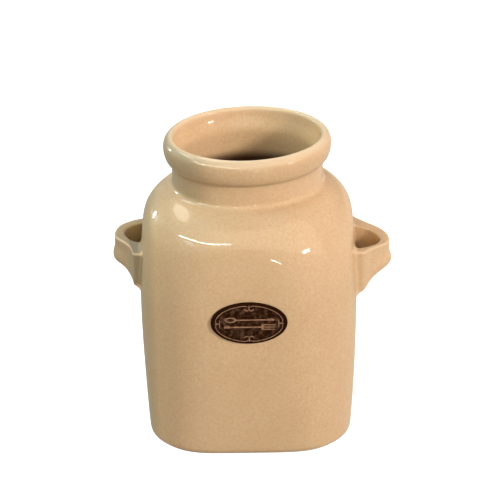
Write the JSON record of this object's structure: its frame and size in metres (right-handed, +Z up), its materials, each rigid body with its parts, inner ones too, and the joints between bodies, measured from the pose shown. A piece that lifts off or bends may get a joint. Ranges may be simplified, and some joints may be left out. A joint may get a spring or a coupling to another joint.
{
  "type": "utensil crock",
  "caption": "Glazed stoneware utensil crock with a squared body, domed shoulder, round neck with a rolled rim, side strap handles and an oval metal badge.",
  "frame": {"origin": "middle of the flat foot, on the jar's own vertical axis", "axes": "+Z up through the mouth, -Y out of the front face that carries the badge, the handles on -X and +X"},
  "size_m": [0.1837, 0.1442, 0.2003],
  "materials": {
    "glazed_stoneware": "gloss",
    "antique_copper": "antiqued, raised lines rubbed bright",
    "adhesive": "matte"
  },
  "bodies": {
    "root": {"crock_body": "glazed_stoneware", "left_handle": "glazed_stoneware", "right_handle": "glazed_stoneware", "badge_plate": "antique_copper", "badge_adhesive": "adhesive"}
  },
  "joints": []
}
